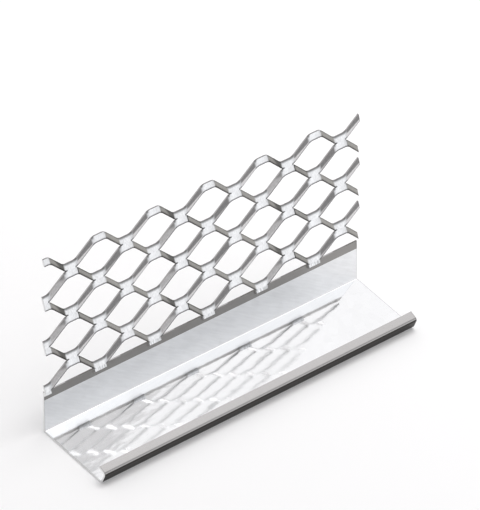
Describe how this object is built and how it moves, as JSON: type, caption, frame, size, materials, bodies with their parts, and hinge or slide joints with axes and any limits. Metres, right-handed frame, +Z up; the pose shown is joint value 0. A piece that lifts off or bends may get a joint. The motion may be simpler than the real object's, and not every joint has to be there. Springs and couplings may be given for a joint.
{
  "type": "bellcast render bead",
  "caption": "Bellcast bead for a render coat: a sheet rolled into a sloping tray with an open V nose and an upright wing of plain strip and raised expanded mesh.",
  "frame": {"origin": "middle of the footprint on the floor, under the tray", "axes": "+X along the bead, -Y out from the wall towards the nose, +Z up, the tray flat on the floor and the wing leaning back"},
  "size_m": [0.132, 0.043, 0.0562],
  "materials": {
    "galvanised_steel": "bright galvanised"
  },
  "bodies": {
    "root": {"bellcast_bead": "galvanised_steel"}
  },
  "joints": []
}
